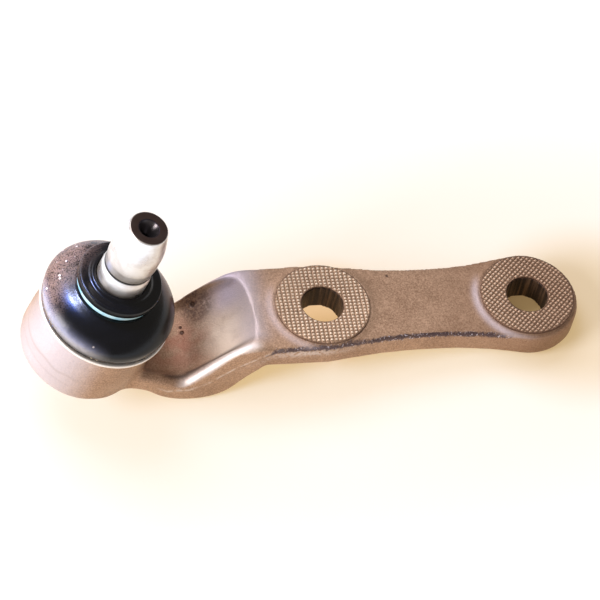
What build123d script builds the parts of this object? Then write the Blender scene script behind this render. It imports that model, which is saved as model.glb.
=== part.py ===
from build123d import *
from math import atan2, cos, degrees, radians, sin, sqrt, tan
import os

# Suspension ball joint: a forged steel arm with two bolting pads, cranked down to a cup
# that holds a ball stud in a plastic bearing, closed by a rolled-in cover and a rubber boot.
# Millimetres. The origin is the inner bolt hole's centre in the pad faces' plane,
# +X runs out along the bar to the outer hole, and +Z stands up out of the pads.
# Heights in the cup, on the stud and on the boot are measured from the ball's centre.

# ---- Bolting pads and bar ----
hole_diameter = 13.0        # clearance hole for an M12 bolt
hole_spacing = 65.0
pad_diameter = 29.6
pad_height = 1.3            # the pads stand this far above the bar
pad_edge_round = 0.5
bar_thickness = 8.7
bar_edge_round = 1.4
inner_land_margin = 0.8     # the bar is wider than the inner pad by this on each side
outer_end_margin = 1.4      # and wider than the outer pad by this
waist_inset = 2.9           # the waist is narrower than the inner land by this on each side
waist_shift = 1.5           # the waist lies this far beyond the middle between the holes
bar_end_margin = 2.2        # the flat bar runs on this far past the inner pad, towards the cup

# ---- Ball centre and the directions of the cup and the stud ----
ball_reach = 69.2           # from the inner hole back to the ball centre, along X
ball_side_offset = -1.0
ball_height = 0.0           # the ball centre lies in the plane of the pad faces
cup_lean_forward = 14.2     # degrees from +Z towards +X
cup_lean_side = -6.3        # degrees from +Z towards +Y
stud_lean_forward = 12.5
stud_lean_side = -3.5

# ---- Ball stud ----
ball_diameter = 27.0
ball_flat_depth = 0.8
stud_radius = 7.75
stud_neck_radius = 6.2
stud_neck_length = 3.2
stud_cone_length = 3.4      # from the neck out to the lower barrel
lower_barrel_length = 8.2
groove_depth = 1.0          # the knuckle's pinch bolt passes through this groove
groove_round = 5.0
upper_barrel_length = 7.1
stud_tip_length = 7.8
stud_tip_radius = 5.9
centre_hole_radius = 3.2
centre_hole_bevel = 60.0    # degrees, the included angle of the lathe centre's cone
centre_pilot_radius = 0.9
centre_pilot_depth = 2.0

# ---- Bearing, spring, cover and seal inside the cup ----
ball_clearance = 0.05
bearing_clearance = 0.05
bearing_wall = 2.2
bearing_split_gap = 0.4
bearing_floor = 1.0         # plastic left under the ball
bearing_foot_chamfer = 1.6
bearing_foot_height = 3.0
bearing_drain_radius = 4.5
spring_thickness = 0.9
spring_cone_height = 0.7
spring_rim = 2.0            # the spring's outer edge lies this far inside the bearing's
spring_hole_radius = 7.0
stack_clearance = 0.05
cover_thickness = 2.0
cover_clearance = 0.1
cover_dish_radius = 10.0
cover_dish_depth = 0.8
cover_dish_slope = 1.2
seal_wire_radius = 0.5
seal_clearance = 0.05

# ---- Cup ----
cup_wall = 3.3
cup_crease_swell = 0.5      # the wall is thickest at a faint crease
cup_crease_height = -7.5
cup_foot_swell = 0.3
cup_foot_height = 4.2       # where the rounded foot starts, above the cup's bottom
cup_foot_round = 1.4        # the foot's flat is narrower than the shoulder by this
cup_foot_edge = 1.0
cup_shoulder_height = 4.9   # the boot sits above this shoulder
spigot_step = 2.3           # the boot's foot grips a spigot that is this much narrower
spigot_height = 3.1
mouth_hold = 0.8            # the mouth is narrower than the ball by this
mouth_lip_length = 1.4
mouth_cone_length = 4.6
mouth_flare = 1.0
rolled_lip_thickness = 1.0
rolled_lip_overlap = 1.8

# ---- Neck between bar and cup ----
neck_width = 30.4
neck_root_width = 27.4      # the neck narrows as it runs into the cup
neck_shoulder_thickness = 10.9  # where the upper side starts to fall
neck_bend_thickness = 13.9
neck_haunch_thickness = 15.2    # on the slope, rims included
neck_crank_thickness = 11.7
neck_root_thickness = 8.9
neck_root_lift = 1.4        # the neck's underside lies this far above the cup's bottom
neck_root_length = 4.3      # straight stretch in front of the cup's wall
neck_crank_length = 6.2
neck_crank_sag = 0.6        # the crank dips this far below the root
neck_side_offset = -1.2
neck_edge_round = 2.6
web_crest_margin = 4.5      # the trough starts this far past the end of the flat bar
web_roll = 3.0              # degrees that the trough's floor turns towards the front
web_width = 25.0
web_dish = 1.3              # the floor is hollow by this much across its width
web_corner_round = 3.5
web_draft = 12.0            # degrees that the rims' inner sides lean out
web_depth = 3.2             # below the rims where the neck meets the cup
web_bend_round = 12.0
web_overrun = 14.0          # the trough's cut carries on past its crest, clear of the bar

# ---- Dust boot and its two rings ----
boot_clearance = 0.3
boot_wall = 1.7
boot_overhang = 1.5         # the bulge stands out this far beyond the cup's shoulder
boot_bulge_rise = 4.1       # heights above the cup's shoulder
boot_shoulder_rise = 8.3
boot_throat_rise = 11.5
boot_shoulder_inset = 2.2
boot_throat_step = 0.9      # the throat is wider than the neck ring by this
boot_grip_wall = 2.35       # rubber between the stud and the neck ring
neck_ring_thickness = 1.0
neck_ring_width = 2.2
collar_step = 1.2           # the collar is wider than the neck ring by this
collar_thickness = 2.6
collar_bevel = 0.6
collar_lip_width = 1.6
collar_lip_height = 0.8
base_ring_overhang = 1.6
base_ring_width = 1.1
base_ring_thickness = 1.2

# ---- Places that follow from the sizes above ----
pad_radius = pad_diameter / 2
bar_top = -pad_height
bar_bottom = bar_top - bar_thickness
inner_land_width = pad_diameter + 2 * inner_land_margin
outer_end_width = pad_diameter + 2 * outer_end_margin
bar_end = -pad_radius - bar_end_margin

ball_radius = ball_diameter / 2
ball_centre = Vector(-ball_reach, ball_side_offset, ball_height)
seat_radius = ball_radius + ball_clearance

cup_bore_radius = seat_radius + bearing_wall + bearing_clearance
cup_shoulder_radius = cup_bore_radius + cup_wall
cup_foot_radius = cup_shoulder_radius + cup_foot_swell
spigot_radius = cup_shoulder_radius - spigot_step
spigot_top = cup_shoulder_height + spigot_height
mouth_radius = ball_radius - mouth_hold
mouth_height = spigot_top - mouth_lip_length
cup_bore_top = mouth_height - mouth_cone_length

bearing_bottom = -seat_radius - bearing_floor
cover_top = bearing_bottom - stack_clearance - spring_cone_height - spring_thickness
cover_bottom = cover_top - cover_thickness
cup_bottom = cover_bottom - rolled_lip_thickness
counterbore_radius = cup_bore_radius + 2 * (seal_wire_radius + seal_clearance)
cover_radius = counterbore_radius - cover_clearance
seal_seat = cover_top + 2 * (seal_wire_radius + seal_clearance)

boot_foot = cup_shoulder_height + boot_clearance
boot_throat = cup_shoulder_height + boot_throat_rise
boot_bulge_radius = cup_shoulder_radius + boot_overhang
lip_radius = stud_radius + boot_clearance
neck_ring_radius = lip_radius + boot_grip_wall + boot_clearance + neck_ring_thickness
neck_ring_bottom = boot_throat + boot_clearance
collar_bottom = neck_ring_bottom + neck_ring_width + boot_clearance
collar_top = collar_bottom + collar_thickness
base_ring_radius = cup_shoulder_radius + base_ring_overhang


def leaning_axis(forward, side):
    """The unit vector that leans from +Z by two angles, towards +X and towards +Y."""
    return Vector(tan(radians(forward)), tan(radians(side)), 1).normalized()


def across(axis):
    """The direction square to an axis that lies nearest to +X."""
    return (Vector(1, 0, 0) - axis * axis.X).normalized()


cup_axis = leaning_axis(cup_lean_forward, cup_lean_side)
stud_axis = leaning_axis(stud_lean_forward, stud_lean_side)
cup_plane = Plane(origin=ball_centre, x_dir=across(cup_axis), z_dir=cup_axis)
stud_plane = Plane(origin=ball_centre, x_dir=across(stud_axis), z_dir=stud_axis)


def turned(plane, *outline):
    """A solid of revolution about the plane's Z axis. The outline's edges hold radius and height."""
    profile = Plane.XZ * make_face([*outline])
    return plane * revolve(profile, Axis.Z)


def turned_corners(plane, *corners):
    """A solid of revolution from a closed outline of (radius, height) corners."""
    profile = Plane.XZ * make_face(Polyline(*corners, close=True))
    return plane * revolve(profile, Axis.Z)


def hoop(plane, height, radius, width, thickness):
    """A flat ring of rectangular section that stands on a height of the plane's axis."""
    upright = (Align.CENTER, Align.CENTER, Align.MIN)
    outer = Cylinder(radius, thickness, align=upright)
    return plane * Pos(0, 0, height) * (outer - Cylinder(radius - width, thickness, align=upright))


def save(shape, name):
    shape.label = name
    export_step(shape, f"parts/{name}.step")


# ---- Forged arm ----
def bar_outline():
    """The flat bar from above: a round land at each hole, joined by arcs that narrow to a waist."""
    land = inner_land_width / 2
    end = outer_end_width / 2
    waist = land - waist_inset
    waist_x = hole_spacing / 2 + waist_shift
    inner_round = (waist_x**2 / (land - waist) - (land + waist)) / 2
    outer_round = ((hole_spacing - waist_x) ** 2 / (end - waist) - (end + waist)) / 2
    inner_joint = Vector(waist_x, waist + inner_round) * (land / (land + inner_round))
    outer_centre = Vector(hole_spacing, 0)
    towards_waist = Vector(waist_x - hole_spacing, waist + outer_round)
    outer_joint = outer_centre + towards_waist * (end / (end + outer_round))
    lean = atan2(inner_joint.X, inner_joint.Y) / 2
    edge = [
        Line((bar_end, land), (0, land)),
        ThreePointArc((0, land), (land * sin(lean), land * cos(lean)), inner_joint),
        RadiusArc(inner_joint, (waist_x, waist), -inner_round),
        RadiusArc((waist_x, waist), outer_joint, -outer_round),
    ]
    mirrored = [mirror(line, Plane.XZ) for line in edge]
    tip = ThreePointArc(outer_joint, (hole_spacing + end, 0), (outer_joint.X, -outer_joint.Y))
    back = Line((bar_end, -land), (bar_end, land))
    return make_face([*edge, tip, *mirrored, back])


def flat_bar():
    bar = Pos(0, 0, bar_bottom) * extrude(bar_outline(), bar_thickness)
    rims = bar.edges().group_by(Axis.Z)
    free_rims = [e for e in rims[-1] + rims[0] if e.center().X > bar_end + bar_edge_round / 2]
    return fillet(free_rims, bar_edge_round)


def pad(x):
    """A round raised boss, its base running down into the bar."""
    foot = bar_bottom + bar_edge_round
    boss = Pos(x, 0, foot) * Cylinder(pad_radius, -foot, align=(Align.CENTER, Align.CENTER, Align.MIN))
    return fillet(boss.edges().group_by(Axis.Z)[-1], pad_edge_round)


def neck_section(top, pitch, roll, width, thickness, edge_round):
    """A cross-section of the neck, hung from a point of its upper side's middle line."""
    along = Vector(-cos(radians(pitch)), 0, -sin(radians(pitch)))
    flat = Vector(0, 1, 0).rotate(Axis((0, 0, 0), along), roll)
    middle = top - flat.cross(along) * (thickness / 2)
    return Plane(origin=middle, x_dir=flat, z_dir=along) * RectangleRounded(width, thickness, edge_round)


def root_point(reach):
    """A point of the neck's upper side near the cup, at a distance in front of the cup's axis."""
    height = cup_bottom + neck_root_lift + neck_root_thickness
    return cup_plane.from_local_coords(Vector(reach, neck_side_offset + ball_side_offset / 2, height))


root_start = root_point(cup_foot_radius + neck_root_length)
crank_top = root_start + Vector(neck_crank_length, 0, -neck_crank_sag)
web_crest = Vector(bar_end - web_crest_margin, 0, bar_top)
web_floor = root_start - cup_axis * web_depth
web_knee = web_floor + across(cup_axis) * ((crank_top.X - web_floor.X) / across(cup_axis).X)
neck_slope = degrees(atan2(web_crest.Z - web_knee.Z, web_crest.X - web_knee.X))


def neck():
    """The neck leaves the bar level, falls to the crank and climbs square to the cup's axis."""
    run = bar_end - crank_top.X
    drop = bar_top - crank_top.Z
    land, wide, bar_edge, edge = inner_land_width, neck_width, bar_edge_round, neck_edge_round
    shoulder = Vector(bar_end - 0.28 * run, 0, bar_top - 0.01 * drop)
    bend = Vector(bar_end - 0.52 * run, 0.2 * crank_top.Y, bar_top - 0.20 * drop)
    haunch = Vector(bar_end - 0.80 * run, 0.7 * crank_top.Y, bar_top - 0.64 * drop)
    roll = cup_lean_side
    sections = [
        neck_section(Vector(bar_end, 0, bar_top), 0, 0, land, bar_thickness, bar_edge),
        neck_section(Vector(bar_end - bar_edge, 0, bar_top), 0, 0, land, bar_thickness, bar_edge),
        neck_section(shoulder, neck_slope / 2, 0, land, neck_shoulder_thickness, bar_edge),
        neck_section(bend, 0.7 * neck_slope, roll / 2, wide, neck_bend_thickness, (bar_edge + edge) / 2),
        neck_section(haunch, 0.85 * neck_slope, roll, wide, neck_haunch_thickness, edge),
        neck_section(crank_top, 0.58 * neck_slope, roll, wide, neck_crank_thickness, edge),
    ]
    reach = cup_foot_radius + neck_root_length
    widths = ((0, wide - 0.6), (0.4 * reach, neck_root_width), (0.76 * reach, neck_root_width - 7))
    for depth, width in widths:
        middle = root_point(reach - depth) - cup_axis * (neck_root_thickness / 2)
        square = Plane(origin=middle, x_dir=cup_plane.y_dir, z_dir=cup_plane.x_dir * -1)
        sections.append(square * RectangleRounded(width, neck_root_thickness, edge))
    return loft(sections)


def web_trough():
    """What is pressed out of the neck's upper side: one section run down the slope and on to the cup."""
    roll = radians(web_roll)
    side_view = Plane(origin=(0, 0, 0), x_dir=(1, 0, 0), z_dir=(0, -cos(roll), -sin(roll)))
    uphill = (web_crest - web_knee) * (1 / (web_crest.X - web_knee.X))
    to_cup = across(cup_axis) * ((web_knee.X + ball_reach) / across(cup_axis).X)
    route = [web_crest + uphill * web_overrun, web_knee, web_knee - to_cup]
    path = side_view * FilletPolyline(*[(p.X, p.Z) for p in route], radius=web_bend_round)
    height = 0.9 * web_bend_round
    half = web_width / 2
    spread = half + height * tan(radians(web_draft))
    outline = make_face([
        ThreePointArc((-half, web_dish), (0, 0), (half, web_dish)),
        Polyline((half, web_dish), (spread, height), (-spread, height), (-half, web_dish)),
    ])
    outline = fillet(outline.vertices().group_by(Axis.Y)[0], web_corner_round)
    square = Plane(origin=path @ 0, x_dir=side_view.z_dir, z_dir=path % 0)
    return sweep(square * outline, path=path)


def cup_outside():
    """The cup's outer form: a nearly straight wall on a rounded foot, with the boot's spigot on top."""
    foot_flat = cup_foot_radius - cup_foot_round - 2 * cup_foot_edge
    foot_side = cup_foot_radius - cup_foot_round
    foot_middle = (cup_foot_radius - 0.25 * cup_foot_round, cup_bottom + 0.55 * cup_foot_height)
    return turned(
        cup_plane,
        Polyline((0, cup_bottom), (foot_flat, cup_bottom), (foot_side, cup_bottom + 0.8 * cup_foot_edge)),
        ThreePointArc(
            (foot_side, cup_bottom + 0.8 * cup_foot_edge),
            foot_middle,
            (cup_foot_radius, cup_bottom + cup_foot_height),
        ),
        Polyline(
            (cup_foot_radius, cup_bottom + cup_foot_height),
            (cup_shoulder_radius + cup_crease_swell, cup_crease_height),
            (cup_shoulder_radius, cup_shoulder_height),
            (spigot_radius, cup_shoulder_height),
            (spigot_radius, spigot_top),
            (0, spigot_top),
            (0, cup_bottom),
        ),
    )


def cup_inside():
    """Mouth, seat bore, the cover's counterbore, the rolled lip's opening and the space under the cup."""
    lip_opening = counterbore_radius - rolled_lip_overlap
    above = spigot_top + mouth_lip_length
    below = cup_bottom - neck_root_thickness
    return turned_corners(
        cup_plane,
        (0, below),
        (cup_foot_radius, below),
        (cup_foot_radius, cup_bottom),
        (lip_opening, cup_bottom),
        (lip_opening, cover_bottom),
        (counterbore_radius, cover_bottom),
        (counterbore_radius, seal_seat),
        (cup_bore_radius, seal_seat),
        (cup_bore_radius, cup_bore_top),
        (mouth_radius, mouth_height),
        (mouth_radius + mouth_flare, spigot_top),
        (mouth_radius + mouth_flare, above),
        (0, above),
    )


def forged_arm():
    arm = flat_bar() + neck() - web_trough()
    arm = arm + pad(0) + pad(hole_spacing)
    arm = arm + cup_outside() - cup_inside()
    for x in (0, hole_spacing):
        arm = arm - Pos(x, 0, bar_bottom / 2) * Cylinder(hole_diameter / 2, 2 * bar_thickness)
    return arm


# ---- Ball stud ----
def ball_stud():
    flat = -(ball_radius - ball_flat_depth)
    flat_radius = sqrt(ball_radius**2 - flat**2)
    neck_start = sqrt(ball_radius**2 - stud_neck_radius**2)
    neck_end = neck_start + stud_neck_length
    shoulder = neck_end + stud_cone_length
    groove_start = shoulder + lower_barrel_length
    groove_half = sqrt(groove_round**2 - (groove_round - groove_depth) ** 2)
    groove_end = groove_start + 2 * groove_half
    tip_start = groove_end + upper_barrel_length
    end = tip_start + stud_tip_length
    bevel_end = end - (centre_hole_radius - centre_pilot_radius) / tan(radians(centre_hole_bevel / 2))
    return turned(
        stud_plane,
        Line((0, flat), (flat_radius, flat)),
        ThreePointArc((flat_radius, flat), (ball_radius, 0), (stud_neck_radius, neck_start)),
        Polyline(
            (stud_neck_radius, neck_start),
            (stud_neck_radius, neck_end),
            (stud_radius, shoulder),
            (stud_radius, groove_start),
        ),
        ThreePointArc(
            (stud_radius, groove_start),
            (stud_radius - groove_depth, groove_start + groove_half),
            (stud_radius, groove_end),
        ),
        Polyline(
            (stud_radius, groove_end),
            (stud_radius, tip_start),
            (stud_tip_radius, end),
            (centre_hole_radius, end),
            (centre_pilot_radius, bevel_end),
            (centre_pilot_radius, bevel_end - centre_pilot_depth),
            (0, bevel_end - centre_pilot_depth),
            (0, flat),
        ),
    )


# ---- Bearing halves ----
bearing_radius = cup_bore_radius - bearing_clearance
ball_seat = cup_plane * Sphere(seat_radius)


def upper_bearing():
    """The half above the ball's middle: its cone bears on the cone under the cup's mouth."""
    cone_start = cup_bore_top - bearing_clearance
    cone_top = mouth_height - bearing_split_gap
    cone_share = (cone_top - cone_start) / mouth_cone_length
    top_radius = bearing_radius - cone_share * (cup_bore_radius - mouth_radius)
    body = turned_corners(
        cup_plane,
        (0, bearing_split_gap / 2),
        (bearing_radius, bearing_split_gap / 2),
        (bearing_radius, cone_start),
        (top_radius, cone_top),
        (0, cone_top),
    )
    return body - ball_seat


def lower_bearing():
    """The half below the ball's middle, on a chamfered foot with a grease hole through it."""
    body = turned_corners(
        cup_plane,
        (bearing_drain_radius, bearing_bottom),
        (bearing_radius - bearing_foot_chamfer, bearing_bottom),
        (bearing_radius, bearing_bottom + bearing_foot_height),
        (bearing_radius, -bearing_split_gap / 2),
        (bearing_drain_radius, -bearing_split_gap / 2),
    )
    return body - ball_seat


# ---- Spring, cover and seal ----
def preload_spring():
    """A conical disc spring: its inner edge bears on the bearing, its outer edge on the cover."""
    outer = bearing_radius - spring_rim
    return turned_corners(
        cup_plane,
        (outer, cover_top),
        (outer, cover_top + spring_thickness),
        (spring_hole_radius, cover_top + spring_cone_height + spring_thickness),
        (spring_hole_radius, cover_top + spring_cone_height),
    )


def closing_cover():
    """A pressed steel disc, dished from below, that the cup's lip is rolled over."""
    return turned_corners(
        cup_plane,
        (0, cover_bottom + cover_dish_depth),
        (cover_dish_radius - cover_dish_slope, cover_bottom + cover_dish_depth),
        (cover_dish_radius, cover_bottom),
        (cover_radius, cover_bottom),
        (cover_radius, cover_top),
        (0, cover_top),
    )


def cover_seal():
    middle_radius = (cup_bore_radius + counterbore_radius) / 2
    middle_height = (cover_top + seal_seat) / 2
    return cup_plane * Pos(0, 0, middle_height) * Torus(middle_radius, seal_wire_radius)


# ---- Boot ----
def boot_ring(radius, height):
    """A circle of the boot: square to the cup at its foot, and to the stud at its throat."""
    share = (height - cup_shoulder_height) / boot_throat_rise
    axis = (cup_axis * (1 - share) + stud_axis * share).normalized()
    return Plane(origin=ball_centre + axis * height, x_dir=across(axis), z_dir=axis) * Circle(radius)


def dust_boot():
    """The rubber boot: a hollow bell on a foot that grips the spigot, with a collar round the stud."""
    bulge = cup_shoulder_height + boot_bulge_rise
    shoulder = cup_shoulder_height + boot_shoulder_rise
    shoulder_radius = boot_bulge_radius - boot_shoulder_inset
    throat_radius = neck_ring_radius + boot_throat_step
    foot_top = boot_foot + base_ring_thickness + boot_clearance
    grip_radius = spigot_radius + boot_clearance
    outside = loft([
        boot_ring(boot_bulge_radius - 0.3 * boot_wall, foot_top),
        boot_ring(boot_bulge_radius, bulge),
        boot_ring(shoulder_radius, shoulder),
        boot_ring(throat_radius, boot_throat),
    ])
    inside = loft([
        boot_ring(grip_radius + boot_clearance, foot_top),
        boot_ring(boot_bulge_radius - boot_wall, bulge),
        boot_ring(shoulder_radius - 1.25 * boot_wall, shoulder - 0.6 * boot_wall),
        boot_ring(throat_radius - 0.7 * boot_wall, boot_throat - boot_wall),
    ])
    foot = hoop(
        cup_plane,
        boot_foot,
        base_ring_radius - base_ring_width - boot_clearance,
        base_ring_radius - base_ring_width - boot_clearance - grip_radius,
        foot_top + boot_clearance - boot_foot,
    )
    groove_floor = lip_radius + boot_grip_wall
    collar_radius = neck_ring_radius + collar_step
    collar = turned_corners(
        stud_plane,
        (0, boot_throat - boot_wall / 2),
        (groove_floor, boot_throat - boot_wall / 2),
        (groove_floor, collar_bottom),
        (collar_radius, collar_bottom),
        (collar_radius, collar_top - collar_bevel),
        (collar_radius - collar_bevel, collar_top),
        (lip_radius + collar_lip_width, collar_top),
        (lip_radius + collar_bevel, collar_top + collar_lip_height),
        (0, collar_top + collar_lip_height),
    )
    stud_passage = stud_plane * Cylinder(lip_radius, 4 * boot_throat)
    return outside - inside + foot + collar - stud_passage


def boot_neck_ring():
    return hoop(stud_plane, neck_ring_bottom, neck_ring_radius, neck_ring_thickness, neck_ring_width)


def boot_base_ring():
    return hoop(cup_plane, boot_foot, base_ring_radius, base_ring_width, base_ring_thickness)


os.makedirs("parts", exist_ok=True)
save(forged_arm(), "forged_arm")
save(ball_stud(), "ball_stud")
save(upper_bearing(), "upper_bearing")
save(lower_bearing(), "lower_bearing")
save(preload_spring(), "preload_spring")
save(closing_cover(), "closing_cover")
save(cover_seal(), "cover_seal")
save(dust_boot(), "dust_boot")
save(boot_neck_ring(), "boot_neck_ring")
save(boot_base_ring(), "boot_base_ring")
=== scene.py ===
import bmesh
import bpy
import numpy as np
from mathutils import Matrix


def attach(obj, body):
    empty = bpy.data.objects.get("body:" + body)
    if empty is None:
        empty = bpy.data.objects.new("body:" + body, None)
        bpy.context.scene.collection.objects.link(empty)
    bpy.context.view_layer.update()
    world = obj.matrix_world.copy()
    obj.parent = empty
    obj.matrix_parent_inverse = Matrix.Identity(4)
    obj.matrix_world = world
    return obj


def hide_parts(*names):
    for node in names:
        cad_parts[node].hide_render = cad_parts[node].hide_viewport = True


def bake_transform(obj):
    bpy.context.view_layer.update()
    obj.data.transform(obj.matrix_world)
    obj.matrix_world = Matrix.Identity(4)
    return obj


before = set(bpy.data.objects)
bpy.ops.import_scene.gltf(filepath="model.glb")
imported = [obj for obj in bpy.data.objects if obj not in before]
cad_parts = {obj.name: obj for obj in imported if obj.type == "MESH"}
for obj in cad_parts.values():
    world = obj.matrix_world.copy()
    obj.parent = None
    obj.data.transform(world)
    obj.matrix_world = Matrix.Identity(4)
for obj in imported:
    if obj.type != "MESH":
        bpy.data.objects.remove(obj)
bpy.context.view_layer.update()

# ---- Forged arm ----
# One steel forging, pressed hot between two dies and trimmed of its flash along the parting line.
# It is shot-blasted to a fine grain, and only its bores, its pads and the boot's spigot are machined.
mm = 0.001
voxel = 0.5 * mm
pad_places = ((0.0, 0.0), (65.0, 0.0))
pad_radius = 14.8
hole_radius = 6.5
bar_top = -1.3
knurl_depth = 0.8               # the pads' tops are left this much low for the knurled faces
ball_centre = np.array([-69.2, -1.0, 0.0])
cup_axis = np.array([0.243914, -0.10642, 0.96394])
stud_axis = np.array([0.216055, -0.059607, 0.97456])
cup_shoulder_radius = 19.1
cup_shoulder_height = 4.9
cover_seat = -18.0              # height of the closing cover's seat, and of the lip rolled over it
cover_seat_reach = 5.0
neck_root_radius = 20.0         # the neck runs into the cup's wall about here
neck_root_reach = 3.4
edge_rounds, root_rounds = 6, 60
parting_line = np.array([
    (-60.0, -14.5), (-48.0, -20.5), (-41.2, -19.9), (-35.1, -16.9), (-29.2, -12.0),
    (-21.4, -5.4), (-17.0, -2.5), (-10.0, -1.9), (80.0, -1.9),
])
parting_ridge = 0.22
trim_burr = 0.16
pad_flare = 0.75                # the bar's top rises this much in a fillet against each pad
pad_flare_reach = 1.6
slow_wave, quick_wave = 0.05, 0.02


def even_copy(node):
    """A node's mesh with its doubles merged, recut by a voxel remesh into small even quads."""
    joined = bmesh.new()
    joined.from_mesh(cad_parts[node].data)
    bmesh.ops.remove_doubles(joined, verts=joined.verts, dist=1e-6)
    rough = bpy.data.meshes.new("rough_" + node)
    joined.to_mesh(rough)
    joined.free()
    holder = bpy.data.objects.new("rough_" + node, rough)
    bpy.context.scene.collection.objects.link(holder)
    recut = holder.modifiers.new("recut", "REMESH")
    recut.mode = "VOXEL"
    recut.voxel_size = voxel
    seen = holder.evaluated_get(bpy.context.evaluated_depsgraph_get())
    mesh = bpy.data.meshes.new_from_object(seen)
    bpy.data.objects.remove(holder)
    return mesh


def points_of(mesh):
    """The mesh's points in millimetres, one row each."""
    flat = np.zeros(3 * len(mesh.vertices), np.float32)
    mesh.vertices.foreach_get("co", flat)
    return flat.reshape(-1, 3).astype(float) / mm


def place_points(mesh, points):
    """Moves the mesh's points to these places, given in millimetres."""
    mesh.vertices.foreach_set("co", (points * mm).astype(np.float32).ravel())
    mesh.update()


def normals_of(mesh):
    """The direction square to the surface at each point, one row each."""
    flat = np.zeros(3 * len(mesh.vertices), np.float32)
    mesh.vertices.foreach_get("normal", flat)
    return flat.reshape(-1, 3).astype(float)


def neighbour_mean(points, edges):
    """For every point, the mean of the points at the far ends of its edges."""
    count = np.bincount(edges.ravel(), minlength=len(points))
    total = np.stack([
        np.bincount(edges[:, 0], points[edges[:, 1], k], len(points))
        + np.bincount(edges[:, 1], points[edges[:, 0], k], len(points))
        for k in range(3)
    ], axis=1)
    return total / count[:, None]


def eased(points, edges, rounds, share):
    """Each round moves a point towards its neighbours' mean, by its own share of the way."""
    for _ in range(rounds):
        points = points + share * (neighbour_mean(points, edges) - points)
    return points


def bell(distance, width):
    """1 at no distance, falling as exp(-(distance/width) squared)."""
    return np.exp(-((distance / width) ** 2))


def ramp(value, low, high):
    """0 below low, 1 above high, and the smooth step 3t2 - 2t3 between them."""
    t = np.clip((value - low) / (high - low), 0, 1)
    return t * t * (3 - 2 * t)


def span(value, start, full, fading, end):
    """0 up to start, 1 from full to fading, 0 again from end, with smooth steps between."""
    return ramp(value, start, full) * ramp(-value, -end, -fading)


def from_cup(points):
    """Each point's distance from the cup's axis, and its height along that axis."""
    arm = points - ball_centre
    height = arm @ cup_axis
    return np.linalg.norm(arm - height[:, None] * cup_axis, axis=1), height


def from_pads(points):
    """Each point's distance from the centre of the nearer bolting pad, seen from above."""
    apart = [np.hypot(points[:, 0] - px, points[:, 1] - py) for px, py in pad_places]
    return np.min(apart, axis=0)


def wobble(points, size, seed):
    """A smooth random value from about -1 to 1: six sine waves of about that size, each in its own
    direction and from its own start, are averaged and stretched by 1.6."""
    wave_count, usual_draw, stretch = 6, 1.7, 1.6
    dice = np.random.default_rng(seed)
    waves = dice.normal(size=(wave_count, 3)) * (2 * np.pi / size / usual_draw)
    starts = dice.uniform(0, 2 * np.pi, wave_count)
    return np.sin(points @ waves.T + starts).mean(axis=1) * stretch


def paint(piece, name, values):
    """Keeps a number for each point of a piece, for its material to read."""
    kept = piece.data.attributes.new(name, "FLOAT", "POINT")
    kept.data.foreach_set("value", np.asarray(values, np.float32))


def add_object(name, mesh):
    made = bpy.data.objects.new(name, mesh)
    bpy.context.scene.collection.objects.link(made)
    return made


arm_mesh = even_copy("forged_arm")
arm_edges = np.zeros(2 * len(arm_mesh.edges), np.int32)
arm_mesh.edges.foreach_get("vertices", arm_edges)
arm_edges = arm_edges.reshape(-1, 2)
arm_points = points_of(arm_mesh)

# Corners are eased least at the bores and the cover's seat, and most where the neck meets the cup.
cup_radius, cup_height = from_cup(arm_points)
near_bore = bell(from_pads(arm_points) - hole_radius, 1.2)
in_seat = ramp(cup_shoulder_radius - 1.2 - cup_radius, 0, 0.6)
in_seat *= ramp(cover_seat_reach - np.abs(cup_height - cover_seat), 0, 1)
kept_crisp = 0.85 * np.maximum(near_bore, in_seat)
arm_points = eased(arm_points, arm_edges, edge_rounds, 0.5 * (1 - kept_crisp)[:, None])
at_root = bell(cup_radius - neck_root_radius, neck_root_reach)
at_root *= ramp(arm_points[:, 0], -68, -56) * ramp(-cup_height, -1.5, 3.0)
arm_points = eased(arm_points, arm_edges, root_rounds, 0.5 * at_root[:, None])
place_points(arm_mesh, arm_points)

# The bar's top rises in a fillet against each pad.
normals = normals_of(arm_mesh)
upward = normals[:, 2]
pad_distance = from_pads(arm_points)
flare = pad_flare * np.exp(-np.clip(pad_distance - pad_radius, 0, None) / pad_flare_reach)
flare *= ramp(upward, 0.6, 0.9) * ramp(arm_points[:, 2], bar_top - 1.0, bar_top - 0.3)
raised = np.maximum(arm_points[:, 2], bar_top + flare)
arm_points[:, 2] = np.where(flare > 0.01, raised, arm_points[:, 2])

# The dies leave a fine ridge along the neck's parting line, and trimming leaves a burr on the bar.
x, y, z = arm_points.T
cup_radius, cup_height = from_cup(arm_points)
ragged = 0.5 + 0.5 * wobble(arm_points, 1.6, 3) + 0.35 * wobble(arm_points, 0.7, 4)
off_parting = z - np.interp(x, *parting_line.T) - 0.12 * wobble(arm_points, 2.5, 5)
sideways = np.abs(normals[:, 1])
steep_wall = ramp(sideways, 0.35, 0.75)
on_neck = span(x, -54, -47, -22, -12)
on_bar = span(x, -23, -16, 52, 62)
lift = parting_ridge * bell(off_parting, 0.45) * steep_wall * on_neck
lift += trim_burr * bell(off_parting, 0.5) * ramp(sideways, 0.2, 0.6) * on_bar * ragged
lift += slow_wave * wobble(arm_points, 9, 6) + quick_wave * wobble(arm_points, 3, 7)
lift *= 1 - near_bore
arm_points = arm_points + normals * lift[:, None]
on_pad = (pad_distance < pad_radius + 0.4) & (arm_points[:, 2] > -knurl_depth)
arm_points[on_pad, 2] = -knurl_depth
place_points(arm_mesh, arm_points)
arm = add_object("arm_forging", arm_mesh)
arm_mesh.shade_smooth()

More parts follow.
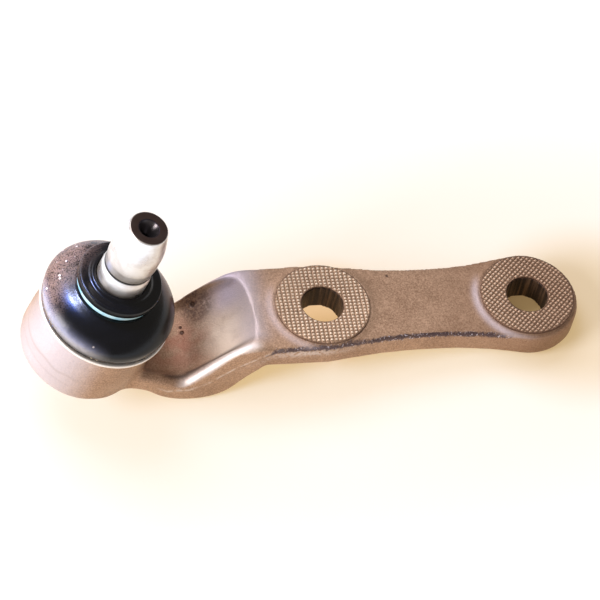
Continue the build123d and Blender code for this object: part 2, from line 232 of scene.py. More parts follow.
# Where the finish changes, and where light and shade are painted. Each bell is centred on a place in
# millimetres and has a width.
facing_up = ramp(upward, 0.2, 0.6)
front_wall = ramp(-normals[:, 1], 0.1, 0.5)
cup_left = np.array([-0.86, -0.50, 0.0])
on_cup_wall = ramp(cup_radius, 17, 18.5) * ramp(-x, 60, 72)
at_shoulder = bell(cup_height - cup_shoulder_height, 0.6)
web_rim = -14.2 + 0.06 * (x + 33)
web_foot = -11.4 + 0.10 * (x + 33)
under_rim = bell(y - web_foot, 0.9) * span(x, -52, -47, -30, -20) * ramp(upward, 0.1, 0.4)
under_cup = bell(cup_radius - 20.6, 2.0) * bell(cup_height + 6, 5.0)
under_cup *= ramp(x, -58, -52) * span(y, -17, -14, -8, -3)
# Painted highlights on the fillets at the lower left of each pad.
fillet_highlights = 0
for (pad_x, pad_y), share in zip(pad_places, (0.6, 1.0)):
    ring = bell(np.hypot(x - pad_x, y - pad_y) - pad_radius - 1.6, 1.2)
    lower_left = -((x - pad_x) * 0.85 + (y - pad_y) * 0.53) / pad_radius
    fillet_highlights = fillet_highlights + share * ring * ramp(lower_left, 0.4, 0.9)
arm_marks = {
    "trimmed": bell(off_parting + 0.1, 1.15) * front_wall * on_bar,
    # painted highlight: a paler band on the front wall below the trim line
    "scuffed": bell(off_parting + 2.0, 1.3) * front_wall * bell(x + 7, 12),
    "parting": bell(off_parting - 0.25, 0.35) * steep_wall * on_neck,
    # the next three are painted highlights: on the crest where the bar bends down, and on the web below
    # it
    "crest": bell(x + 22.5, 4.5) * ramp(upward, 0.3, 0.8) * ramp(y, -14, -9),
    "sheen": bell(x + 29.5, 6.0) * bell(y + 3, 13) * facing_up,
    "lilac": bell(x + 28, 4.5) * ramp(y, 1, 9) * facing_up,
    "low_web": bell(x + 44, 9) * bell(y + 1, 9) * facing_up,
    # painted highlight along the top of the front rim
    "rim": bell(y - web_rim, 1.5) * ramp(upward, 0.25, 0.6) * span(x, -47, -41, -25, -19),
    # painted highlight on the pads' fillets
    "fillet": fillet_highlights * ramp(upward, 0.3, 0.7),
    "in_shade": np.maximum(under_rim, under_cup),
    "bore": ramp(hole_radius + 0.9 - pad_distance, 0, 0.5) * ramp(0.8 - np.abs(upward), 0, 0.4),
    # painted shade of faint creases, and painted light on the cup's left side
    "crease": bell(cup_height + 7.5 - 0.4 * np.sin(x), 0.5) + 0.6 * bell(cup_height + 11.5, 0.4),
    "bright_side": ramp(normals @ cup_left, 0.45, 0.98) * on_cup_wall,
    # painted shadow under the base ring, along the cup's shoulder
    "under_ring": bell(cup_radius - cup_shoulder_radius, 0.5) * at_shoulder,
}
for name, values in arm_marks.items():
    paint(arm, name, values)
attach(arm, "housing")
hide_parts("forged_arm")


class Wire:
    """A socket of a material. Its sums and products are Math nodes added to that material."""

    def __init__(self, tree, socket=None):
        self.tree = tree
        self.socket = socket

    def node(self, kind, settings, feeds, out=0):
        """Adds a node. Its settings are made first, then each socket takes a number or a wire."""
        made = self.tree.nodes.new("ShaderNode" + kind)
        for name, value in settings.items():
            setattr(made, name, value)
        for key, value in feeds.items():
            if isinstance(value, Wire):
                self.tree.links.new(value.socket, made.inputs[key])
            else:
                made.inputs[key].default_value = value
        return Wire(self.tree, made.outputs[out]) if made.outputs else None

    def maths(self, operation, first, second):
        """A Math node on two values, each of them a wire or a number."""
        return self.node("Math", {"operation": operation}, {0: first, 1: second})

    def __add__(self, other):
        return self.maths("ADD", self, other)

    def __sub__(self, other):
        return self.maths("SUBTRACT", self, other)

    def __rsub__(self, other):
        return self.maths("SUBTRACT", other, self)

    def __mul__(self, other):
        return self.maths("MULTIPLY", self, other)

    __radd__ = __add__
    __rmul__ = __mul__

    def rising(self, low, high):
        """0 below low, 1 above high, with a smooth step between."""
        return self.node(
            "MapRange",
            {"interpolation_type": "SMOOTHSTEP"},
            {"Value": self, "From Min": low, "From Max": high},
        )

    def between(self, first, second):
        """The colour that lies between two colours by this wire's value."""
        return self.node("Mix", {"data_type": "RGBA"}, {0: self, 6: first, 7: second}, out=2)

    def grain(self, size, detail=2.0, roughness=0.5):
        """Noise about 0.5 whose lumps are about `size` millimetres across, on these coordinates."""
        feeds = {"Vector": self, "Scale": 1 / (size * mm), "Detail": detail, "Roughness": roughness}
        return self.node("TexNoise", {}, feeds)

    def near(self, spot, radius):
        """1 at a spot given in millimetres, 0 beyond a radius, on these coordinates."""
        spot = tuple(value * mm for value in spot)
        gap = self.node("VectorMath", {"operation": "DISTANCE"}, {0: self, 1: spot}, out=1)
        return 1 - gap.rising(0.4 * radius * mm, radius * mm)


def painted(place, name):
    """A value that was kept on the points of the piece."""
    return place.node("Attribute", {"attribute_name": name}, {}, out=2)


def rgb(red, green, blue):
    """A colour written as it looks, 0 to 255, made linear: c/12.92 when dark, and otherwise
    ((c + 0.055) / 1.055) to the power of 2.4."""
    shown = np.array([red, green, blue]) / 255
    linear = np.where(shown <= 0.04045, shown / 12.92, ((shown + 0.055) / 1.055) ** 2.4)
    return (*linear, 1.0)


def new_finish(name):
    """An empty material, and a wire with the piece's own coordinates."""
    made = bpy.data.materials.new(name)
    made.use_nodes = True
    made.node_tree.nodes.clear()
    return made, Wire(made.node_tree).node("TexCoord", {}, {}, out=3)


def close_finish(place, colour, roughness, metallic, height, depth, specular=0.5):
    """Ends a material in one Principled shader. The height wire, times depth in mm, is its bump."""
    shader = place.node("BsdfPrincipled", {}, {
        "Base Color": colour,
        "Roughness": roughness,
        "Metallic": metallic,
        "Specular IOR Level": specular,
        "Normal": place.node("Bump", {}, {"Distance": depth * mm, "Height": height}),
    })
    place.node("OutputMaterial", {}, {"Surface": shader})


def steel_ground(place, light, dark):
    """Blasted steel's colour: fine speckle over slow stains, between a light and a dark tone."""
    speckle = place.grain(0.5, 3.0, 0.7)
    patches = place.grain(11, 3.0)
    tone = (speckle - 0.5) * 1.9 + (patches - 0.5) * 0.6 + 0.5
    return tone.rising(0.0, 1.0).between(dark, light), speckle


def along_bar(place):
    """0 by the inner pad and 1 beyond the outer one, where the colour is made darker."""
    return place.node("SeparateXYZ", {}, {"Vector": place}, out=0).rising(0.018, 0.075)


def layered(ground, layers):
    """A colour with layers over it. Each is a mask, how much the layer covers there, and its colour."""
    for mask, share, colour in layers:
        ground = (mask * share).between(ground, colour)
    return ground


forged_finish, place = new_finish("forged_steel")
ground, speckle = steel_ground(place, rgb(202, 168, 142), rgb(142, 110, 86))
trimmed = painted(place, "trimmed")
ragged_trim = (trimmed + (place.grain(1.4, 4.0, 0.75) - 0.5) * 2.0 - 0.08).rising(0.32, 0.85)
trim_chips = trimmed.rising(0.15, 0.6) * place.grain(0.6, 2.0).rising(0.60, 0.70)
# Painted highlight, a paler band on the front wall below the trim line.
scuffed = painted(place, "scuffed") * place.grain(1.2, 3.0).rising(0.3, 0.6)
# Painted shade of the rear rim over the web, with a dark stain by the pit.
rear_shade_and_stain = place.near((-36.5, 10.8, -12.0), 8.0) * place.grain(0.8, 3.0).rising(0.2, 0.65)
# Painted light on the cup's left side, which faces the broad lamp.
bright_side = painted(place, "bright_side")
pits = (
    place.near((-37.3, 11.4, -13.2), 1.3) + place.near((-41.3, 3.7, -17.1), 0.9)
    + place.near((-41.5, 5.6, -17.0), 0.6) + place.near((22.2, 10.2, -1.3), 0.6)
)
drawn_out = place.node("Mapping", {}, {"Vector": place, "Scale": (1.0, 1.0, 0.06)})
bore_scores = drawn_out.grain(1.1, 2.0).rising(0.42, 0.8)
ground = layered(ground, (
    (along_bar(place), 0.5, rgb(116, 82, 58)),
    # painted highlight on the web
    (painted(place, "sheen") * place.grain(6).rising(0.0, 0.5), 1.0, rgb(255, 236, 218)),
    (painted(place, "low_web") * place.grain(5).rising(0.35, 0.65), 0.5, rgb(166, 96, 76)),
    # painted highlights along the crest and on the web's upper part
    (painted(place, "crest"), 0.55, rgb(196, 190, 205)),
    (painted(place, "lilac"), 0.7, rgb(206, 196, 220)),
    (rear_shade_and_stain, 0.7, rgb(82, 64, 62)),
    (scuffed, 0.7, rgb(224, 214, 212)),
    (ragged_trim, 0.85, rgb(62, 50, 62)),
    (trim_chips, 0.8, rgb(214, 206, 216)),
    (painted(place, "parting") * place.grain(2.2).rising(0.35, 0.6), 0.55, rgb(232, 220, 212)),
    # painted light on the cup's left side, and painted shade of faint creases across it
    (bright_side, 0.7, rgb(206, 202, 214)),
    (painted(place, "crease") * bright_side, 0.35, rgb(150, 132, 126)),
    (painted(place, "in_shade"), 0.75, rgb(52, 38, 34)),
    # painted highlights on the front rim and on the pads' fillets
    (painted(place, "rim"), 0.9, rgb(238, 232, 234)),
    (painted(place, "fillet"), 0.55, rgb(212, 202, 214)),
    (pits.rising(0.1, 0.9), 0.75, rgb(58, 40, 34)),
    # painted shadow under the base ring
    (painted(place, "under_ring"), 0.8, rgb(40, 30, 26)),
    (painted(place, "bore"), 1.0, bore_scores.between(rgb(44, 30, 26), rgb(118, 92, 72))),
))
forged_gloss = 0.50 + (speckle - 0.5) * 0.3 - painted(place, "crest") * 0.08
forged_grain = speckle + place.grain(1.6, 2.0) * 0.8 - pits * 3.0
close_finish(place, ground, forged_gloss, 0.55, forged_grain, 0.10)
arm_mesh.materials.append(forged_finish)

# ---- Knurled faces of the bolting pads ----
# The two pads bear against the vehicle's control arm, and their faces are pressed with rows of
# small blunt pyramids that bite into it. The inner face's rows run across the arm, and the outer
# face's at 45 degrees to it.
row_pitch = 1.34
bead_pitch = 1.17
bead_height = 0.42
pad_edge_fall = 0.35
outer_edge_run, bore_edge_run = 0.7, 0.4
bore_play = 0.1                 # the knurled face's bore is this much wider than the hole
washer_foot = -knurl_depth - 0.15
knurl_rings = 52
knurl_spokes = 420


def skin(name, rings, closed):
    """A surface over rings of points, quads joining each ring to the next. A closed skin joins its
    last ring to its first, and an open one is drawn to a point in the middle of each end ring."""
    count, around = rings.shape[:2]
    ids = np.arange(count * around).reshape(count, around)
    this, following = (ids, np.roll(ids, -1, 0)) if closed else (ids[:-1], ids[1:])
    quads = np.stack([this, np.roll(this, -1, 1), np.roll(following, -1, 1), following], -1)
    quads = quads.reshape(-1, 4)
    points = rings.reshape(-1, 3)
    faces = quads.tolist()
    if not closed:
        points = np.vstack([points, rings[0].mean(0), rings[-1].mean(0)])
        for ring, pole in ((ids[0][::-1], count * around), (ids[-1], count * around + 1)):
            faces += np.stack([ring, np.roll(ring, -1), np.full(around, pole)], -1).tolist()
    a, b, c, d = (points[quads[:, k]] for k in range(4))
    volume = np.einsum("ij,ij->", np.cross(a, b), c) + np.einsum("ij,ij->", np.cross(a, c), d)
    if volume < 0:
        faces = [face[::-1] for face in faces]
    mesh = bpy.data.meshes.new(name)
    mesh.from_pydata((points * mm).tolist(), [], faces)
    mesh.shade_smooth()
    return add_object(name, mesh)


def blunt_rows(distance, pitch):
    """Ridges side by side: 1 on their flat crests and 0 in the grooves, with sloping flanks between."""
    phase = np.abs((distance / pitch) % 1 - 0.5) * 2
    return np.clip((1 - phase) * 1.5, 0, 1)


def knurled_face(name, centre, turn, seed):
    """A flat washer whose top rises in pyramids: the lower of two crossing sets of ridges."""
    inner, outer = hole_radius + bore_play, pad_radius
    run = np.linspace(0, 1, knurl_rings)
    radius = np.concatenate([[inner, inner], inner + (outer - inner) * run, [outer, outer]])
    angle = np.linspace(0, 2 * np.pi, knurl_spokes, endpoint=False)
    px = radius[:, None] * np.cos(angle)
    py = radius[:, None] * np.sin(angle)
    across = px * np.cos(turn) + py * np.sin(turn)
    along = py * np.cos(turn) - px * np.sin(turn)
    flat = np.stack([px, py, 0 * px], -1).reshape(-1, 3)
    stray = wobble(flat, 6, seed).reshape(px.shape) * 0.07
    worn = 1 + 0.12 * wobble(flat, 2.4, seed + 1).reshape(px.shape)
    rows = blunt_rows(across + stray, row_pitch)
    beads = blunt_rows(along + stray, bead_pitch)
    relief = np.minimum(np.minimum(rows, beads) * worn, 1)
    edge = ramp(outer - radius, 0, outer_edge_run) * ramp(radius - inner, 0, bore_edge_run)
    edge = edge[:, None]
    top = -bead_height * (1 - relief) * edge - pad_edge_fall * (1 - edge)
    top[[0, -1]] = washer_foot
    top[[1, -2]] = -knurl_depth * 0.6
    washer = skin(name, np.stack([px + centre[0], py + centre[1], top], -1), closed=True)
    paint(washer, "relief", (relief * edge).ravel())
    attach(washer, "housing")
    return washer


knurl_finish, place = new_finish("knurled_steel")
ground, speckle = steel_ground(place, rgb(220, 186, 156), rgb(158, 126, 102))
relief = painted(place, "relief")
# The crowns' painted highlight, paler by the inner pad.
crown_highlight = along_bar(place).between(rgb(246, 226, 206), rgb(196, 168, 146))
ground = layered(ground, (
    (along_bar(place), 0.6, rgb(106, 72, 52)),
    # painted shade in the grooves between the pyramids, then painted highlights on their crowns
    ((1 - relief).rising(0.45, 1.25), 1.0, rgb(84, 56, 44)),
    (relief.rising(0.55, 0.95), 1.0, crown_highlight),
))
close_finish(place, ground, 0.42 + (speckle - 0.5) * 0.25, 0.55, speckle, 0.05)
for name, centre, turn, seed in (
    ("knurled_face_inner", pad_places[0], 0.0, 11),
    ("knurled_face_outer", pad_places[1], np.radians(45), 21),
):
    knurled_face(name, centre, turn, seed).data.materials.append(knurl_finish)

# ---- Ball stud ----
# Turned from steel bar in one piece with its ball, then ground bright. A groove round the shank
# takes the knuckle's pinch bolt, and the end keeps the centre hole of the lathe that it was turned on.
ball_radius = 13.5
ball_flat = -12.7
stud_neck_radius = 6.2
stud_radius = 7.75
neck_end = 15.19
stud_shoulder = 18.59
groove_start, groove_end = 26.79, 32.79
groove_depth = 0.5
groove_lean = -0.3              # the groove is deepest this share of its half width from its middle
groove_floor = 28.9             # height of that deepest place
tip_start, tip_end = 39.89, 47.69
tip_radius = 5.9
centre_hole_radius = 3.2
centre_pilot_radius = 0.9
bevel_end = 43.71
pilot_end = 41.71
axis_gap = 0.05                 # the outline stops this short of the axis, and a fan closes the skin
crisp_angle = np.radians(38)
stud_segments = 160
ball_steps, groove_steps, corner_steps = 48, 15, 5


def across_axis(axis):
    """Two directions square to an axis: the one nearest to +X, and the one square to both."""
    first = np.array([1.0, 0, 0]) - axis * axis[..., :1]
    first = first / np.linalg.norm(first, axis=-1, keepdims=True)
    return first, np.cross(axis, first)


def lathe_rings(outline, axis, segments):
    """Rings of points: ball centre + height along the axis + radius x (cosine, sine) across it.
    The axis is one direction, or one for each point of the outline."""
    radius, height = outline.T
    axis = np.broadcast_to(axis, (len(outline), 3))
    first, second = across_axis(axis)
    turn = np.linspace(0, 2 * np.pi, segments, endpoint=False)[None, :, None]
    spoke = first[:, None] * np.cos(turn) + second[:, None] * np.sin(turn)
    return (ball_centre + axis * height[:, None])[:, None] + radius[:, None, None] * spoke


def corners_eased(corners, reach, steps=corner_steps):
    """An outline with its corners rounded: near corner C it runs from A to B, both `reach` from C
    along the two edges (or nearly half of a shorter edge), as (1-t)^2 A + 2t(1-t) C + t^2 B."""
    corner = np.asarray(corners, float)
    back, ahead = np.roll(corner, 1, 0) - corner, np.roll(corner, -1, 0) - corner
    back_length = np.linalg.norm(back, axis=1, keepdims=True)
    ahead_length = np.linalg.norm(ahead, axis=1, keepdims=True)
    start = corner + back / back_length * np.minimum(reach, 0.45 * back_length)
    end = corner + ahead / ahead_length * np.minimum(reach, 0.45 * ahead_length)
    t = np.linspace(0, 1, steps)[None, :, None]
    bent = (1 - t) ** 2 * start[:, None] + 2 * t * (1 - t) * corner[:, None] + t**2 * end[:, None]
    return bent.reshape(-1, 2)


ball_low, ball_high = np.arcsin(ball_flat / ball_radius), np.arccos(stud_neck_radius / ball_radius)
ball_turn = np.linspace(ball_low, ball_high, ball_steps)
ball_arc = ball_radius * np.stack([np.cos(ball_turn), np.sin(ball_turn)], -1)
groove_turn = np.linspace(-1, 1, groove_steps)
groove_flanks = ((groove_turn + 1) / (1 + groove_lean), (1 - groove_turn) / (1 - groove_lean))
groove_arc = np.stack([
    stud_radius - groove_depth * np.minimum(*groove_flanks),
    (groove_start + groove_end) / 2 + groove_turn * (groove_end - groove_start) / 2,
], -1)
shank = corners_eased([
    (stud_neck_radius, ball_arc[-1, 1]),
    (stud_neck_radius, neck_end),
    (stud_radius, stud_shoulder),
    (stud_radius, groove_start),
], 1.0)
tip_easing = np.array([0.3, 2.2, 0.45, 0.15, 0.1, 0.1, 0.01, 0.01])[:, None]
tip = corners_eased([
    (stud_radius, groove_end),
    (stud_radius, tip_start),
    (tip_radius, tip_end),
    (centre_hole_radius, tip_end),
    (centre_pilot_radius, bevel_end),
    (centre_pilot_radius, pilot_end),
    (axis_gap, pilot_end),
    (axis_gap, tip_start),
], tip_easing)
stud_outline = np.vstack([
    [(axis_gap, ball_flat)],
    ball_arc,
    shank[corner_steps:-corner_steps],
    groove_arc,
    tip[corner_steps:-corner_steps],
])
stud = skin("polished_stud", lathe_rings(stud_outline, stud_axis, stud_segments), closed=False)
stud_radii, stud_heights = (np.repeat(stud_outline[:, k], stud_segments) for k in (0, 1))
paint(stud, "height", np.append(stud_heights, [ball_flat, pilot_end]))
paint(stud, "radius", np.append(stud_radii, [0, 0]))
stud.data.set_sharp_from_angle(angle=crisp_angle)

stud_finish, place = new_finish("polished_steel")
height = painted(place, "height")
radius = painted(place, "radius")
end_face = height.rising(tip_end - 0.45, tip_end - 0.1)
end_face *= 1 - radius.rising(tip_radius - 0.35, tip_radius - 0.05)
# Painted shade inside the centre hole.
hole_shade = 1 - radius.rising(centre_hole_radius, centre_hole_radius + 0.2)
hole_shade *= height.rising(tip_start, tip_start + 1)
# Painted shade along the groove's deepest line, under the shank's edge.
groove_shade = height.rising(groove_floor - 0.75, groove_floor - 0.2)
groove_shade *= 1 - height.rising(groove_floor + 0.15, groove_floor + 0.6)
on_outline = place.node("CombineXYZ", {}, {0: height * mm, 1: radius * mm, 2: 0.0})
turning = on_outline.grain(0.35, 2.0)
smear = place.grain(4, 3.0)
bright = (smear * 0.8 + turning * 0.2).rising(0.35, 0.65)
bright = layered(bright.between(rgb(214, 206, 200), rgb(240, 236, 232)), (
    (groove_shade, 0.97, rgb(14, 9, 7)),
    (end_face, 0.95, rgb(52, 28, 22)),
    (hole_shade, 0.9, rgb(48, 44, 54)),
))
stud_gloss = 0.29 + (smear - 0.5) * 0.12 + end_face * 0.15
stud_marks = turning + end_face * place.grain(0.5) * 2.0
close_finish(place, bright, stud_gloss, 0.88, stud_marks, 0.012)
stud.data.materials.append(stud_finish)
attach(stud, "stud")
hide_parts("ball_stud")

# ---- Dust boot ----
# A moulded rubber bell that keeps grit out of the joint. Its foot grips the cup's spigot under a
# steel ring, and its collar hugs the stud under a plastic ring, so the wall flexes as the stud swings.
boot_foot = 5.2
boot_throat = 16.4
boot_seam = 11.9                # the height at which the wall's two shells meet
flex_start = 6.4
foot_meets_wall = (20.05, 6.75)
shoulder_outside = (12.6, boot_throat)
shoulder_inside = (11.4, 14.7)
lip_radius = 8.05
collar_bottom, collar_top = 19.2, 21.8
collar_radius = 12.9
wall_steps = 26
rubber_edge_angle = np.radians(40)
fleck_cell = 1.3
boot_segments = 160


def curve_through(points, steps):
    """A smooth line through points: between two of them, the cubic whose slope at each is half of
    the way from the point before to the point after."""
    p = np.asarray(points, float)
    p = np.vstack([2 * p[0] - p[1], p, 2 * p[-1] - p[-2]])
    t = np.linspace(0, 1, steps, endpoint=False)[None, :, None]
    a, b, c, d = (p[k:len(p) - 3 + k, None] for k in range(4))
    line = (
        b + (c - a) * t / 2 + (2 * a - 5 * b + 4 * c - d) * t**2 / 2
        + (3 * b - a - 3 * c + d) * t**3 / 2
    )
    return np.vstack([line.reshape(-1, p.shape[1]), p[-2:-1]])


def boot_axis(height):
    """The boot leans from the cup's axis at its foot to the stud's at its throat, in even steps."""
    share = (height - cup_shoulder_height) / (boot_throat - cup_shoulder_height)
    share = np.clip(share, 0, 1)[:, None]
    axis = cup_axis * (1 - share) + stud_axis * share
    return axis / np.linalg.norm(axis, axis=1, keepdims=True)


def split_at(line, height):
    """The two parts of a rising line, below and above a height, with the same point between them."""
    at = np.searchsorted(line[:, 1], height)
    share = (height - line[at - 1, 1]) / (line[at, 1] - line[at - 1, 1])
    middle = line[at - 1] * (1 - share) + line[at] * share
    return np.vstack([line[:at], middle]), np.vstack([middle, line[at:]])


outer_line = curve_through([
    foot_meets_wall, (20.6, 9.0), (20.35, 10.9), (18.4, 13.2), (15.7, 15.1), shoulder_outside,
], wall_steps)
inner_line = curve_through([
    (17.4, 6.7), (18.9, 9.0), (18.6, 10.6), (16.3, 12.2), (13.6, 13.6), shoulder_inside,
], wall_steps)
outer_low, outer_high = split_at(outer_line, boot_seam)
inner_low, inner_high = split_at(inner_line, boot_seam - 0.6)
foot = corners_eased([
    (17.1, 6.7), (17.1, boot_foot), (19.3, boot_foot), (19.3, 6.6), foot_meets_wall,
], 0.25)
collar_easing = np.array([0.5, 0.3, 0.2, 0.35, 0.5, 0.8, 0.6, 0.3, 0.3, 0.3, 0.3])[:, None]
collar = corners_eased([
    shoulder_outside,
    (10.45, boot_throat + 0.25),
    (10.45, collar_bottom),
    (collar_radius, collar_bottom),
    (collar_radius, collar_top - 0.3),
    (collar_radius - 0.8, collar_top),
    (lip_radius + 1.9, collar_top),
    (lip_radius + 1.1, collar_top + 0.8),
    (lip_radius, collar_top + 0.8),
    (lip_radius, boot_throat - 1.7),
    shoulder_inside,
], collar_easing)

# Where the foot and the collar run on into the wall, their last corner stops half way round.
lower_outline = np.vstack([foot[2:-3], outer_low, inner_low[::-1]])
upper_outline = np.vstack([outer_high, collar[3:-3], inner_high[::-1]])

boot_finish, place = new_finish("boot_rubber")
east = place.node("SeparateXYZ", {}, {"Vector": place}, out=0)
north = place.node("SeparateXYZ", {}, {"Vector": place}, out=1)
far_left = (north * 0.75 - east).rising(0.072, 0.088)
near_foot = 1 - painted(place, "rise").rising(6.8, 8.2)
# A brown film painted on the boot: dust round the foot, and on the upper left dust with a painted sheen
# of warm light.
dust_and_sheen = far_left * place.grain(3.5, 3.0).rising(0.20, 0.5) * 0.8
dust_and_sheen = dust_and_sheen + near_foot * place.grain(1.2).rising(0.45, 0.7) * 0.4
haze = dust_and_sheen * place.grain(0.35, 2.0).rising(0.3, 0.6)
cells = {"Vector": place, "Scale": 1 / (fleck_cell * mm)}
from_cell = place.node("TexVoronoi", {}, cells)
cell_colour = place.node("TexVoronoi", {}, cells, out=1)
cell_pick = place.node("SeparateColor", {}, {"Color": cell_colour})
left_bare = 0.995 - far_left * 0.17 - near_foot * 0.20
flecks = (1 - from_cell.rising(0.18, 0.36)) * (cell_pick - left_bare).rising(0.0, 0.01)
# Painted reflection of the bright table: a grey band along the boot's lower left.
reflected_band = painted(place, "reflected_band") * (0.55 + place.grain(1.5, 3.0) * 0.5)
rubber = layered(place.grain(2.5, 3.0).between(rgb(4, 4, 5), rgb(10, 10, 11)), (
    (haze, 1.0, rgb(158, 126, 102)),
    (reflected_band, 0.85, rgb(176, 176, 186)),
    (painted(place, "warm"), 0.22, rgb(150, 92, 66)),
    (flecks, 1.0, rgb(232, 214, 186)),
))
rubber_gloss = 0.17 + place.grain(1.2, 3.0) * 0.10 + haze * 0.3 + flecks * 0.3
rubber_skin = place.grain(0.5, 3.0) + flecks * 2.0 + haze
close_finish(place, rubber, rubber_gloss, 0.0, rubber_skin, 0.02, specular=0.28)
for name, outline, low_body, high_body, low, high in (
    ("boot_lower_wall", lower_outline, "housing", "swing_fore_aft", flex_start, boot_seam),
    ("boot_upper_wall", upper_outline, "swing_fore_aft", "swing_sideways", boot_seam, boot_throat),
):
    rings = lathe_rings(outline, boot_axis(outline[:, 1]), boot_segments)
    shell = skin(name, rings, closed=True)
    shell.data.set_sharp_from_angle(angle=rubber_edge_angle)
    reach, rise = (np.repeat(outline[:, k], boot_segments) for k in (0, 1))
    outward = points_of(shell.data)[:, :2] - ball_centre[:2]
    outward = outward / np.linalg.norm(outward, axis=1)[:, None]
    to_front_left = ramp(outward @ [-0.80, -0.60], 0.55, 0.95)
    to_back_right = ramp(outward @ [0.85, 0.53], 0.55, 0.95)
    paint(shell, "rise", rise)
    # painted reflection band on the wall's front left
    paint(shell, "reflected_band", bell(rise - 9.6, 1.7) * ramp(reach, 16, 19) * to_front_left)
    paint(shell, "warm", bell(rise - 13.0, 2.4) * to_back_right)
    shell.data.materials.append(boot_finish)
    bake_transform(shell)
    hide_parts("dust_boot")

# ---- Boot rings ----
# A flat steel wire ring clamps the boot's foot on the cup, and a moulded plastic ring with a
# round face holds its throat on the stud, in the groove under the collar.
ring_segments = 160
base_outline = corners_eased([(19.6, 5.25), (20.7, 5.25), (20.7, 6.4), (19.6, 6.4)], 0.35)
neck_outline = corners_eased([
    (10.7, 16.75), (12.0, 16.75), (12.4, 17.9), (12.2, 19.05), (10.7, 19.05),
], 0.5)

ring_steel, place = new_finish("ring_steel")
drawn = place.grain(0.6, 2.0)
wire_tone = drawn.between(rgb(222, 216, 212), rgb(252, 248, 244))
close_finish(place, wire_tone, 0.25 + drawn * 0.15, 0.6, drawn, 0.02)
ring_blue, place = new_finish("ring_blue")
cloud = place.grain(3.0, 2.0)
fine = place.grain(0.4, 2.0)
blue_tone = cloud.rising(0.3, 0.7).between(rgb(136, 196, 228), rgb(190, 226, 244))
close_finish(place, blue_tone, 0.32 + fine * 0.15, 0.0, fine + cloud, 0.02)
for name, outline, axis, body, node, finish, slot in (
    ("base_ring", base_outline, cup_axis, "housing", "boot_base_ring", ring_steel, "ring_steel"),
    ("neck_ring", neck_outline, stud_axis, "swing_sideways", "boot_neck_ring", ring_blue, "ring_blue"),
):
    hoop = skin(name, lathe_rings(outline, axis, ring_segments), closed=True)
    hoop.data.materials.append(finish)
    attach(hoop, body)
    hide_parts(node)

# ---- Inside and underside of the cup ----
# Two acetal half shells carry the ball, and a conical disc spring under them takes up wear. The
# pressed cover that closes the cup from below is zinc plated and sealed with a rubber ring.
def mottled_finish(name, mottle, tones, gloss, gloss_change, metallic, depth):
    """A finish in soft mottles of a size in millimetres, between two tones, over a fine grain."""
    made, place = new_finish(name)
    fine = place.grain(0.5, 2.0)
    colour = place.grain(mottle, 3.0).between(*tones)
    close_finish(place, colour, gloss + fine * gloss_change, metallic, fine, depth)
    return made


acetal_tones = (rgb(214, 206, 186), rgb(232, 226, 210))
oiled_tones = (rgb(58, 56, 60), rgb(96, 92, 90))
plated_tones = (rgb(150, 146, 138), rgb(196, 190, 178))
plastic = mottled_finish("bearing_plastic", 4.0, acetal_tones, 0.38, 0.1, 0.0, 0.02)
spring_steel = mottled_finish("spring_steel", 3.0, oiled_tones, 0.30, 0.15, 0.9, 0.02)
pressed_steel = mottled_finish("pressed_steel", 5.0, plated_tones, 0.32, 0.2, 0.85, 0.04)
seal_rubber, place = new_finish("seal_rubber")
fine = place.grain(0.6, 2.0)
seal_tone = fine.between(rgb(16, 16, 18), rgb(34, 33, 34))
close_finish(place, seal_tone, 0.5 + fine * 0.2, 0.0, fine, 0.03)
node_finishes = {
    "forged_arm": forged_finish,
    "ball_stud": stud_finish,
    "upper_bearing": plastic,
    "lower_bearing": plastic,
    "preload_spring": spring_steel,
    "closing_cover": pressed_steel,
    "cover_seal": seal_rubber,
    "dust_boot": boot_finish,
    "boot_neck_ring": ring_blue,
    "boot_base_ring": ring_steel,
}
for node, finish in node_finishes.items():
    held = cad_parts[node].data
    held.materials.clear()
    held.materials.append(finish)

# ---- Table, light and camera ----
# The part rests on the far end of its bar and the bottom of its neck and cup, on a pale table with warm
# shadows painted on it under the bolt holes and by the bar's far end. A broad lamp stands to the left,
# a low and a high one fill in, and two small windows shine on the boot's rubber alone.
table_size = 3000.0
table_gap = 0.1
steepest_slope = 0.3
slope_tries = 1201
clear_of_middle = 30            # the part bears on the table beyond this from the inner hole, both ways
shade_near, shade_far = (0.40, 0.51, 0.66, 1), (0.50, 0.68, 0.98, 1)
glow_near, glow_far = (0.63, 0.43, 0.18, 1), (0.66, 0.56, 0.39, 1)
# Shadows painted on the table: under each bolt hole, and beyond the bar's far end.
patches = (                      # pad, place from its centre, radius, strength and colour of each
    (0, (5, 11), 24, 0.6, (0.48, 0.27, 0.08, 1)),
    (1, (3, 8), 13, 0.95, (0.07, 0.03, 0.012, 1)),
    (1, (20, -2), 40, 0.5, (0.36, 0.25, 0.11, 1)),
)
white = (1, 1, 1, 1)

slopes = np.linspace(-steepest_slope, steepest_slope, slope_tries)[:, None]
drop = arm_points[:, 2] - slopes * arm_points[:, 0]
cup_side = np.where(arm_points[:, 0] < -clear_of_middle, drop, np.inf).min(1)
bar_side = np.where(arm_points[:, 0] > clear_of_middle, drop, np.inf).min(1)
level = np.argmin(np.abs(cup_side - bar_side))
table_slope, table_height = slopes[level, 0], cup_side[level]
corners = np.array([(-1, -1), (1, -1), (1, 1), (-1, 1)]) * table_size / 2
corner_heights = table_slope * corners[:, 0] + table_height - table_gap
table_points = np.column_stack([corners, corner_heights])
table_mesh = bpy.data.meshes.new("table")
table_mesh.from_pydata((table_points * mm).tolist(), [], [(0, 1, 2, 3)])
table = add_object("table", table_mesh)
table_finish, place = new_finish("table_top")
cream = place.grain(60, 2.0).between(rgb(236, 216, 184), rgb(244, 228, 200))
plain_top = place.node("BsdfDiffuse", {}, {"Color": cream})
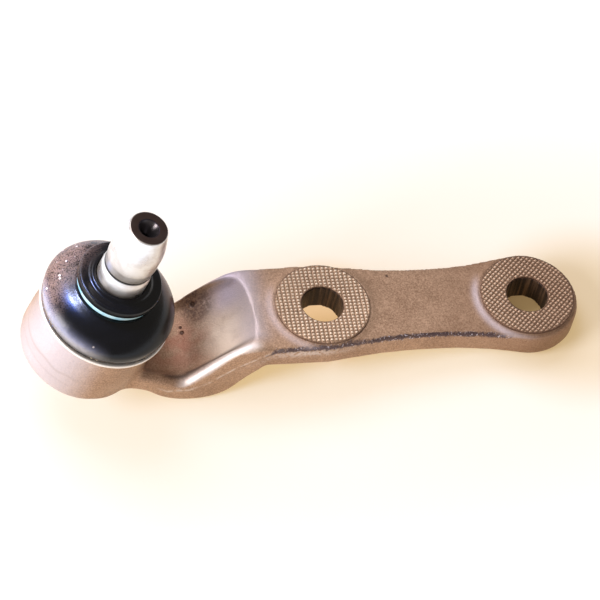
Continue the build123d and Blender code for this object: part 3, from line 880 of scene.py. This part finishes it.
spread = place.node("Mapping", {}, {"Vector": place, "Scale": (1.0, 1.9, 0.0)})
far = place.node("VectorMath", {"operation": "LENGTH"}, {0: spread}, out=1).rising(0.09, 0.34)
tint = far.between(shade_near, shade_far)
warmth = far.between(glow_near, glow_far)
# Each painted shadow darkens both the table's lit colour and its glow.
for pad, (off_x, off_y), radius, share, shadow_colour in patches:
    spot_x, spot_y = pad_places[pad][0] + off_x, pad_places[pad][1] + off_y
    spot = place.near((spot_x, spot_y, table_slope * spot_x + table_height), radius) * share
    tint = spot.between(tint, shadow_colour)
    warmth = spot.between(warmth, shadow_colour)
shaded = place.node("BsdfDiffuse", {}, {"Color": tint})
glow = place.node("Emission", {}, {"Color": warmth, "Strength": 1.0})
lit_top = place.node("AddShader", {}, {0: shaded, 1: glow})
seen = place.node("LightPath", {}, {}, out=0) + place.node("LightPath", {}, {}, out=3)
from_above = place.node("MixShader", {}, {0: seen.rising(0, 1), 1: plain_top, 2: lit_top})
underside = place.node("NewGeometry", {}, {}, out=6)
nothing = place.node("BsdfTransparent", {}, {})
place.node("OutputMaterial", {}, {
    "Surface": place.node("MixShader", {}, {0: underside, 1: from_above, 2: nothing}),
})
table_mesh.materials.append(table_finish)

world = bpy.data.worlds.new("room")
bpy.context.scene.world = world
world.use_nodes = True
world.node_tree.nodes.clear()
room = Wire(world.node_tree)
seen = room.node("LightPath", {}, {}, out=0)
soft = room.node("Background", {}, {"Color": rgb(255, 247, 238), "Strength": 0.40})
plain = room.node("Background", {}, {"Color": white, "Strength": 1.0})
room.node("OutputWorld", {}, {"Surface": room.node("MixShader", {}, {0: seen, 1: soft, 2: plain})})


def stand(thing, place, right, up, back):
    """Puts a lamp or a camera at a place in millimetres, its own three axes along these directions."""
    turned = Matrix(np.column_stack([right, up, back]).tolist()).to_4x4()
    thing.matrix_world = Matrix.Translation(np.array(place) * mm) @ turned


def lamp(name, position, aim, size, power, colour):
    """An area lamp of a width and height at a position, facing a point it aims at, in millimetres."""
    light = bpy.data.lights.new(name, "AREA")
    light.shape = "RECTANGLE"
    light.size = size[0] * mm
    light.size_y = size[1] * mm
    light.energy = power
    light.color = colour[:3]
    made = add_object(name, light)
    back = np.array(position, float) - np.array(aim, float)
    back = back / np.linalg.norm(back)
    side = np.cross([0, 0, 1], back)
    side = side / np.linalg.norm(side)
    stand(made, position, side, np.cross(back, side), back)
    return made


lamp("broad_lamp", (-1050, -300, 520), (-40, 0, 0), (520, 520), 13.0, rgb(255, 248, 244))
lamp("low_strip", (-1000, -150, 40), (-69, 0, 0), (900, 110), 6.0, rgb(255, 250, 250))
lamp("high_lamp", (-420, 700, 1100), (-20, 0, 0), (900, 900), 9.0, rgb(250, 248, 255))
window_blue = lamp(
    "window_blue", (-300, 180, 875), (-79, -7, 18), (230, 260), 13.0, rgb(96, 136, 255)
)
window_white = lamp(
    "window_white", (-215, 190, 890), (-77, -8, 18), (60, 200), 7.0, rgb(236, 242, 255)
)
rubber_parts = bpy.data.collections.new("seen_by_windows")
for shell in ("boot_lower_wall", "boot_upper_wall"):
    rubber_parts.objects.link(bpy.data.objects[shell])
for window in (window_blue, window_white):
    window.light_linking.receiver_collection = rubber_parts

camera = add_object("camera", bpy.data.cameras.new("camera"))
camera.data.sensor_width = 36
camera.data.lens = 180
camera.data.clip_start = 0.01
camera.data.clip_end = 20
stand(
    camera,
    (-196.8, -521.6, 726.5),
    right=(0.9771, -0.1596, 0.1405),
    up=(0.0464, 0.8048, 0.5918),
    back=(-0.2075, -0.5717, 0.7938),
)
bpy.context.scene.camera = camera
bpy.context.scene.view_settings.view_transform = "Standard"
